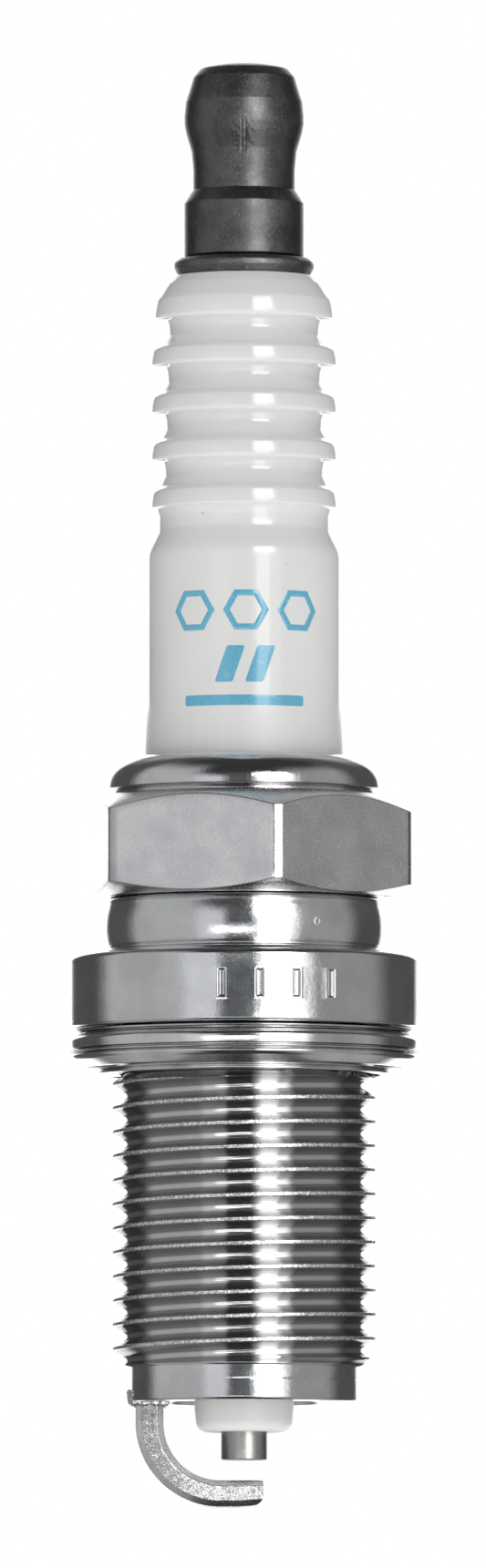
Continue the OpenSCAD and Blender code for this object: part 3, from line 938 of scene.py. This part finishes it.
def hex_rings(columns):
    """Rings of the hex from the plane under it to the circle at its top."""
    low_r = HEX_FLAT_R - 0.2
    top_r = HEX_FLAT_R - 0.52
    bottom_slope = 0.45
    top_slope = 0.579
    nick = 0.045               # half width of the worn edge between a chamfer and a flat
    rings = []
    spots = []
    for d in columns:
        r = hex_radius(d)
        z_low = HEX_BOTTOM + bottom_slope * (r - low_r)
        z_high = HEX_TOP - top_slope * (r - top_r)
        spots.append((r, z_low, z_high))
    up_chamfer = 1 / math.hypot(1, bottom_slope)
    down_chamfer = 1 / math.hypot(1, top_slope)

    def ring(make):
        rings.append([])
        for d, (r, z_low, z_high) in zip(columns, spots):
            rr, z = make(r, z_low, z_high)
            rings[-1].append(polar(rr, d, z))

    for share in (0.0, 0.12, 0.5):
        ring(lambda r, a, b, s=share: (low_r + (r - low_r) * s, HEX_BOTTOM + (a - HEX_BOTTOM) * s))
    ring(lambda r, a, b: (r - nick * up_chamfer, a - nick * up_chamfer * bottom_slope))
    ring(lambda r, a, b: (r - 0.012, a + 0.004))
    ring(lambda r, a, b: (r, a + nick))
    for k in range(1, 10):
        ring(lambda r, a, b, s=k / 10: (r, a + nick + (b - a - 2 * nick) * s))
    ring(lambda r, a, b: (r, b - nick))
    ring(lambda r, a, b: (r - 0.012, b - 0.004))
    ring(lambda r, a, b: (r - nick * down_chamfer, b + nick * down_chamfer * top_slope))
    for share in (0.5, 0.12, 0.0):
        ring(lambda r, a, b, s=share: (top_r + (r - top_r) * s, HEX_TOP + (b - HEX_TOP) * s))
    return rings


def make_shell():
    columns = shell_columns()
    end_low = THREAD_STOP - 0.25
    neck_high = THREAD_START + 0.3
    foot = soften([(NOSE_BORE_R, SHELL_END + 0.25), (NOSE_BORE_R + 0.25, SHELL_END, 0.06),
                   (END_R, SHELL_END, 0.16), (END_R, end_low)], step=12)
    foot = dense(foot, SHELL_END + 0.8, SHELL_END + 1.7, 0.035)
    offsets = []
    for k in (0.0, 0.045, 0.078, 0.11, 0.18, 0.27, 0.36, 0.44, 0.50, 0.55, 0.59):
        offsets += [k] if k == 0 else [-k, k]
    offsets = sorted(offsets + [-PITCH / 2])
    thread = threaded(columns, end_low, neck_high, PITCH, CREST_PHASE, offsets, thread_radius)
    collar = soften([(NECK_R, neck_high), (NECK_R, 0, 0.3), (COLLAR_R, 0, 0.22),
                     (COLLAR_R, COLLAR_TOP, 0.36), (RING_R + 0.4, COLLAR_TOP, 0.15),
                     (RING_R + 0.16, COLLAR_TOP + 0.04, 0.04), (RING_R + 0.1, COLLAR_TOP + 0.22, 0.06),
                     (RING_R - 0.22, COLLAR_TOP + 0.32, 0.08), (RING_R - 0.14, COLLAR_TOP + 0.5, 0.1)],
                    step=12)
    for bottom, top, step in ((0.2, 3.5, 0.5), (1.1, 1.5, 0.045), (2.45, 2.85, 0.045)):
        collar = dense(collar, bottom, top, step)
    middle = (COLLAR_TOP + HEX_BOTTOM) / 2 - 0.1
    belt = arc(RING_R - 4.4, middle + 0.1, 4.4, -13, 15, 14)
    belt += arc(RING_R - 0.42, HEX_BOTTOM - 0.29, 0.28, 25, 88, 6)
    belt += [(RING_R - 0.32, HEX_BOTTOM), (HEX_FLAT_R - 0.3, HEX_BOTTOM)]
    lip = [(HEX_FLAT_R - 0.52, HEX_TOP), (7.2, HEX_TOP + 0.012)]
    lip += soften([(7.1, HEX_TOP + 0.012), (CRIMP_R - 0.36, HEX_TOP + 0.03, 0.05),
                   (CRIMP_R - 0.3, CRIMP_BOTTOM - 0.05, 0.05), (CRIMP_R - 0.08, CRIMP_BOTTOM, 0.04),
                   (CRIMP_R, CRIMP_BOTTOM + 0.08)], step=20)
    lip += arc(CRIMP_R - 1.57, CRIMP_BOTTOM + 0.18, 1.57, 0, 75, 22)
    lip += soften([(FOOT_R + 0.2, CRIMP_TOP), (FOOT_R + 0.06, CRIMP_TOP - 0.02, 0.05),
                   (FOOT_R + SLIP, CRIMP_TOP - 0.12), (FOOT_R + SLIP, 13.45, 0.05),
                   (FOOT_R + 0.2, 13.35, 0.05), (CAVITY_R, 12.85, 0.2), (CAVITY_R, 2.4, 0.3),
                   (MID_BORE_R, 1.0, 0.2), (MID_BORE_R, LEDGE + 0.45, 0.1), (NOSE_BORE_R, LEDGE, 0.1),
                   (NOSE_BORE_R, SHELL_END + 0.25)], step=20)
    parts = [turned(foot, columns, shape=faint_line), thread]
    rings = [ring_at(r, z, columns, stamped) for r, z in collar + belt]
    rings += hex_rings(columns)
    rings += [ring_at(r, z, columns) for r, z in lip]
    parts.append(skin(rings))

    def pick(r, z, _):
        if HEX_BOTTOM + 0.01 < z < HEX_TOP - 0.01 and r > 7.5:
            return 1
        if end_low < z < neck_high and r > NOSE_BORE_R + 1:
            return 2
        return 0

    return piece("steel_shell", parts, [PLATE, HEX, THREAD], "plug", ["shell"],
                 sharp=38, pick=pick)


# ----------------------------------------
# Gasket
# ----------------------------------------

def crushed(r, z, direction):
    """Slight waves in the gasket's rolled rims."""
    if r < 8:
        return r
    return r - 0.012 - 0.02 * noise.noise(noise_spot(direction, z, 2.2, 0.6))


def make_gasket():
    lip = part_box("gasket")[1].x / MM
    lobe = lip - 0.13
    inner = THREAD_R + 0.12
    base = -SEAT               # the gasket's lower face
    corners = [
        (inner, 0.0, 0.08), (7.6, 0.0, 0.06), (7.72, 0.06, 0.05), (7.7, 0.15, 0.04), (7.54, 0.19, 0.02),
        (7.75, 0.22, 0.03), (8.5, 0.34, 0.5), (8.77, 0.53, 0.4), (9.08, 0.74, 0.3), (9.16, 0.94, 0.15),
        (9.05, 1.06, 0.05), (8.55, 1.09, 0.02), (8.6, 1.13, 0.02), (lip - 0.03, 1.10, 0.03),
        (lip, 1.17, 0.03), (8.9, 1.24, 0.05), (8.8, 1.27, 0.04), (lobe - 0.07, 1.31, 0.04),
        (lobe - 0.03, 1.62, 0.12), (lobe - 0.03, 1.78, 0.2), (8.95, 2.06, 0.25), (8.5, 2.14, 0.1),
        (8.42, 2.17, 0.02), (8.95, 2.19, 0.03), (9.0, 2.27, 0.04), (8.8, 2.35, 0.08), (inner, 2.35, 0.12),
        (inner, 1.75, 0.1), (8.3, 1.69, 0.02), (8.3, 1.63, 0.02), (inner, 1.57, 0.1), (inner, 0.86, 0.1),
        (8.1, 0.74, 0.02), (8.1, 0.68, 0.02), (inner, 0.54, 0.1)]
    outline = soften([(r, z + base, f) for r, z, f in corners], closed=True, step=12)
    parts = [turned(outline, around(200), closed=True, shape=crushed)]
    for i in range(3):
        claw = soften([(NECK_R + 0.3, base + 0.05, 0.04), (inner + 0.12, base + 0.01, 0.02),
                       (inner + 0.12, base + 0.29, 0.02), (NECK_R + 0.3, base + 0.21, 0.04)],
                      closed=True, step=30)
        slices = [[polar(r, 120 * i + 50 + 2 * k, z) for r, z in claw] for k in range(13)]
        ends = [[sum(s, Vector()) / len(s)] for s in (slices[0], slices[-1])]
        parts.append(skin([ends[0]] + slices + [ends[1]]))
    return piece("folded_gasket", parts, [GASKET], "gasket", ["gasket"], sharp=50)


# ----------------------------------------
# Electrodes
# ----------------------------------------

def make_centre_electrode():
    outline = soften([
        (0, ELECTRODE_END), (ELECTRODE_R, ELECTRODE_END, 0.05), (ELECTRODE_R, -0.45, 0.1), (1.75, 0.1, 0.1),
        (1.75, 1.1, 0.1), (1.1, 1.1, 0.05), (1.1, 2.4, 0.1), (0.72, 2.4, 0.03),
        (0.72, ELECTRODE_END + 2.6, 0.1), (0, ELECTRODE_END + 2.2)], step=15)
    outline = dense(outline, ELECTRODE_END, -1, 0.8)
    return piece("centre_tip", [turned(outline, around(96))], [WIRE], "plug",
                 ["centre_electrode"], sharp=40)


STRAP_THICK, LEG_THICK = 1.36, 1.45   # the arm and the slightly thicker leg
BEND_R = 4.35                         # radius of the bend's outer face


def strap_section(half):
    """Points round the section as (from the outside in, across), with bevelled edges."""
    thick, edge = STRAP_THICK, 0.3
    bevels = ((thick, half - edge), (thick - edge, half), (edge, half), (0, half - edge),
              (0, edge - half), (edge, -half), (thick - edge, -half), (thick, edge - half))
    return spaced(soften([(t, y, 0.09) for t, y in bevels], closed=True, step=12), 0.14)


def set_back(depth):
    """How far the tip's face lies back: it is rounded below and has a small round above."""
    for inside, r in ((depth, 0.45), (STRAP_THICK - depth, 0.15)):
        if inside < r:
            return r - math.sqrt(max(0, r ** 2 - (r - inside) ** 2))
    return 0


def rise(from_tip, depth):
    """The arm's underside climbs a little towards the tip."""
    return 0.1 * max(0, 1.3 - from_tip) / 1.3 * (1 - depth / STRAP_THICK)


def strap_rings(outer_x, tip_x, bottom, root_z, half):
    """Rings from the root down the leg, round the bend, along the arm and over the tip."""
    def placed(x, y, z):
        """The sheared sides are pitted, the rolled faces nearly flat."""
        spot = Vector((x * 7, y * 7, z * 7))
        pits = 0.014 * noise.noise(spot) + 0.01 * noise.noise(spot * 2.1) - 0.018
        y += math.copysign(1, y) * ramp(abs(y), half - 0.12, half - 0.02) * pits
        return place(x, max(-half, min(half, y)), z)

    section = strap_section(half)
    middle = STRAP_THICK / 2
    bend_x, bend_z = outer_x + BEND_R, bottom + BEND_R
    rings = [[place(outer_x + middle, 0, root_z)]]
    steps = 9
    for k in range(steps):
        z = root_z + (bend_z - root_z) * k / steps
        rings.append([placed(outer_x + t * LEG_THICK / STRAP_THICK, y, z) for t, y in section])
    steps = 54
    for k in range(steps + 1):
        a = math.radians(90 * k / steps)
        swell = 1 + (LEG_THICK / STRAP_THICK - 1) * (1 - k / steps)
        reach = [BEND_R - t * swell for t, _ in section]
        rings.append([placed(bend_x - r * math.cos(a), y, bend_z - r * math.sin(a))
                      for r, (_, y) in zip(reach, section)])
    steps = 20
    for k in range(1, steps + 1):
        xs = [bend_x + (tip_x - set_back(t) - bend_x) * k / steps for t, _ in section]
        rings.append([placed(x, y, bottom + t + rise(tip_x - x, t)) for x, (t, y) in zip(xs, section)])
    for s in (0.93, 0.8, 0.55, 0.25):
        rings.append([])
        for t, y in section:
            depth = middle + (t - middle) * s
            back = set_back(depth) + 0.02 * (s < 0.9)
            rings[-1].append(place(tip_x - back, y * s, bottom + depth + rise(back, depth)))
    rings.append([place(tip_x - 0.02, 0, bottom + middle + rise(0, middle))])
    return rings


def make_side_strap():
    low_corner, high_corner = (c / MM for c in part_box("ground_electrode"))
    tip_x = high_corner.x
    half = (high_corner.y - low_corner.y) / 2
    rings = strap_rings(low_corner.x, tip_x, low_corner.z - SEAT, high_corner.z - SEAT, half)

    def pick(_r, _z, centre):
        """Rolled faces and edges, then sheared sides."""
        return 0 if abs(centre.y) < half - 0.035 or centre.x > tip_x - 0.03 else 1

    return piece("side_strap", [skin(rings)], [ROLLED, SHEARED], "plug",
                 ["ground_electrode"], sharp=45, pick=pick)


def weld_spots(rng, last_x):
    """Centres and radii of the melted lumps beside the strap's root, across it and behind it."""
    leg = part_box("ground_electrode")[0].x / MM
    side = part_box("ground_electrode")[1].y / MM
    root = high("ground_electrode")
    spots = []
    for face in (-1, 1):
        x = leg - 0.1
        while x < last_x:
            spots.append((place(x, face * (side - 0.02), root - 0.02), rng.uniform(0.10, 0.19)))
            x += rng.uniform(0.07, 0.13)
    for x in (leg + 1.45, leg + 0.02):
        y = -side
        while y < side:
            spots.append((place(x, y, root - 0.02), rng.uniform(0.11, 0.2)))
            y += rng.uniform(0.08, 0.15)
    for _ in range(150):
        turn = rng.uniform(-16, 16)
        up = rng.uniform(0, 1) ** 1.3
        r = rng.uniform(0.07, 0.17) * (1 - 0.2 * up)
        spots.append((polar(END_R - 0.10 + 0.12 * up, 180 - turn, root + 0.02 + 0.62 * up), r))
    return spots


def make_weld():
    """Metal squeezed out by the weld: a line of small melted lumps round the strap's root."""
    rng = random.Random(5)
    lowest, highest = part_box("strap_weld")
    bm = bmesh.new()
    for centre, r in weld_spots(rng, highest.x / MM - 0.12):
        stretch = [rng.uniform(*limits) for limits in ((0.9, 1.2), (0.9, 1.2), (0.75, 1.05))]
        where = Matrix.Translation(centre) @ Matrix.Diagonal(stretch + [1])
        bmesh.ops.create_icosphere(bm, subdivisions=2, radius=r * MM, matrix=where)
    lumps = bpy.data.meshes.new("lumps")
    bm.to_mesh(lumps)
    bm.free()
    made = shown("weld_flash", lumps)
    join = made.modifiers.new("join", "REMESH")
    join.mode = "VOXEL"
    join.voxel_size = 0.032 * MM
    melt = made.modifiers.new("melt", "SMOOTH")
    melt.factor = 0.5
    melt.iterations = 2
    mesh = bpy.data.meshes.new_from_object(made.evaluated_get(bpy.context.evaluated_depsgraph_get()))
    made.modifiers.clear()
    made.data = mesh
    for v in mesh.vertices:
        p = v.co / MM
        push = 0.03 * noise.noise(p * 5.0) + 0.02 * noise.noise(p * 11.0)
        moved = v.co + Vector((push, push, push)) * MM
        v.co = Vector(min(h, max(w, m)) for w, m, h in zip(lowest, moved, highest))
    for face in mesh.polygons:
        face.use_smooth = True
    mesh.materials.append(WELD)
    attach(made, "plug")
    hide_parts("strap_weld")
    return made


# ----------------------------------------
# Inner pieces: the CAD's own shapes with their looks
# ----------------------------------------

def dress_inner_pieces():
    glass = hidden_look("seal_glass", 0.0, (0.02, 0.025, 0.03, 1), (0.07, 0.08, 0.08, 1),
                        2500.0, 0.18, 1.5)
    pellet = hidden_look("resistor_pellet", 0.0, (0.05, 0.035, 0.03, 1), (0.12, 0.08, 0.06, 1),
                         3000.0, 0.6, 4.0)
    copper = hidden_look("copper_core", 1.0, (0.62, 0.26, 0.14, 1), (0.78, 0.40, 0.25, 1),
                         1800.0, 0.25, 1.5)
    talc = hidden_look("pressed_talc", 0.0, (0.70, 0.69, 0.65, 1), (0.80, 0.79, 0.76, 1),
                       2600.0, 0.65, 4.0)
    wire = hidden_look("packing_wire", 1.0, grey(0.45), grey(0.60), 2400.0, 0.28, 1.5)
    looks = {"upper_glass_seal": glass, "lower_glass_seal": glass, "resistor": pellet,
             "centre_electrode_core": copper, "talc_fill": talc, "upper_packing_ring": wire,
             "lower_packing_ring": wire, "seat_washer": wire}
    for node, look in looks.items():
        slots = frame["nodes"][node].material_slots
        if not slots:
            frame["nodes"][node].data.materials.append(look)
        for material_slot in slots:
            material_slot.material = look


# ----------------------------------------
# Studio: pale floor, soft light from all round, camera
# ----------------------------------------

FLOOR_Z = -0.085               # in metres, well below the electrodes


def make_floor():
    mesh = bpy.data.meshes.new("floor")
    bm = bmesh.new()
    lowered = Matrix.Translation((0, 0, FLOOR_Z))
    bmesh.ops.create_grid(bm, x_segments=12, y_segments=12, size=0.8, matrix=lowered)
    bm.to_mesh(mesh)
    bm.free()
    mesh.materials.append(floor_look())
    floor = shown("floor", mesh)
    floor.visible_diffuse = False
    floor.visible_glossy = False
    floor.visible_shadow = False


# What the metal mirrors: soft boxes and cards round the object. Direction from the front towards
# +X, and elevation, in degrees, each with its soft edge, then the light's colour and strength.
CARDS = [
    ((-100, 100, 30), (30, 91, 16), (1, 1, 1), 0.05),
    ((-165, -40, 20), (-91, -36, 14), (1, 1, 1), 0.42),
    ((45, 165, 20), (-91, -36, 14), (1, 1, 1), 0.42),
    ((-40, 45, 14), (-91, -31, 10), (1, 1, 1), 0.05),
    ((-105, -40, 18), (-38, 50, 34), (0.99, 0.98, 1.0), 0.53),
    ((-56, -28, 10), (-36, 24, 14), (0.99, 0.98, 1.0), 0.57),
    ((38, 101, 22), (-38, 42, 30), (1.0, 0.99, 0.99), 0.38),
    ((-40, -16, 7), (-26, 18, 12), (0.97, 0.98, 1.02), 0.84),
    ((-15, 8, 5), (-22, 16, 10), (0.93, 1.0, 1.05), 0.13),
    ((-27, 8, 4), (-13, -5, 3), (1, 1, 1), 2.6),
    ((10, 44, 8), (-36, 26, 10), (1, 1, 1), 1.65),
    ((15, 31, 4), (-32, 20, 10), (1, 1, 1), 4.5),
    ((12, 38, 6), (10, 29, 6), (1, 1, 1), 8.0),
    ((138, 181, 22), (36, 91, 16), (1, 1, 1), 0.50),
    ((-181, -140, 22), (36, 91, 16), (1, 1, 1), 0.40),
    ((154, 182, 8), (-29, 30, 12), (1, 1, 1), 2.3),
    ((-182, -154, 8), (-29, 30, 12), (1, 1, 1), 2.3),
    ((-184, 184, 2), (-92, -68, 8), (1, 1, 1), 0.03),
    ((160, 184, 8), (-92, -32, 8), (1, 1, 1), 0.05),
    ((-184, -160, 8), (-92, -32, 8), (1, 1, 1), 0.05),
    ((173, 184, 4), (-92, -9, 6), (1, 1, 1), 0.04),
    ((-184, -173, 4), (-92, -9, 6), (1, 1, 1), 0.04),
]
SURROUND = (0.10, 0.10, 0.105)   # what it mirrors between them
# The even light on matt surfaces: its level, and how much more comes from front, right and below.
EVEN, FROM_FRONT, FROM_RIGHT, FROM_BELOW = 0.38, 0.50, 0.09, 0.90


def make_light():
    world = bpy.data.worlds.new("studio")
    bpy.context.scene.world = world
    world.use_nodes = True
    world.cycles.sampling_method = "NONE"
    tree = world.node_tree
    tree.nodes.clear()
    x, y, z = split_xyz(add(tree, "TexCoord", out="Generated"))
    ahead = y * -1.0
    azimuth = x.maths("ARCTAN2", ahead) * (180 / math.pi)
    elevation = z.maths("ARCSINE") * (180 / math.pi)

    def window(value, start, end, soft):
        up = value.span(start - soft / 2, start + soft / 2)
        return up * value.span(end - soft / 2, end + soft / 2, 1.0, 0.0)

    light = SURROUND + (1,)
    for across, up, tint, strength in CARDS:
        light = blend(window(azimuth, *across) * window(elevation, *up), light, grey(strength, tint))
    below = (z * -1.0).maths("MAXIMUM", 0.0)
    even = (ahead * FROM_FRONT + EVEN + x * FROM_RIGHT + below * FROM_BELOW).maths("MAXIMUM", 0.03)
    soft = add(tree, "CombineXYZ", i0=even, i1=even, i2=even)
    light = blend(add(tree, "LightPath", out="Is Glossy Ray"), soft, light)
    light = blend(add(tree, "LightPath", out="Is Camera Ray"), light, (1, 1, 1, 1))
    world_output = tree.nodes.new("ShaderNodeOutputWorld")
    feed(world_output.inputs["Surface"], add(tree, "Background", Color=light, Strength=1.0))


def make_camera():
    sensor = 36.0
    lens = 480.0
    shown_height = 0.08158     # height of the frame at the object's axis
    below = math.radians(3.8)  # the camera looks up at the object a little
    target = Vector((-0.000055, 0, (12.82 + SEAT) * MM))
    distance = shown_height * lens / sensor
    data = bpy.data.cameras.new("camera")
    data.sensor_width = sensor
    data.lens = lens
    data.clip_start, data.clip_end = 0.05, 10
    camera = shown("camera", data)
    back = Vector((0, -math.cos(below), -math.sin(below)))
    camera.location = target + back * distance
    camera.rotation_mode = "QUATERNION"
    camera.rotation_quaternion = (-back).to_track_quat("-Z", "Y")
    bpy.context.scene.camera = camera


make_terminal_nut()
make_terminal_stud()
make_insulator()
make_print()
make_shell()
make_gasket()
make_centre_electrode()
make_side_strap()
make_weld()
dress_inner_pieces()
make_floor()
make_light()
make_camera()
bpy.context.scene.view_settings.view_transform = "Standard"
bpy.context.scene.view_settings.look = "None"
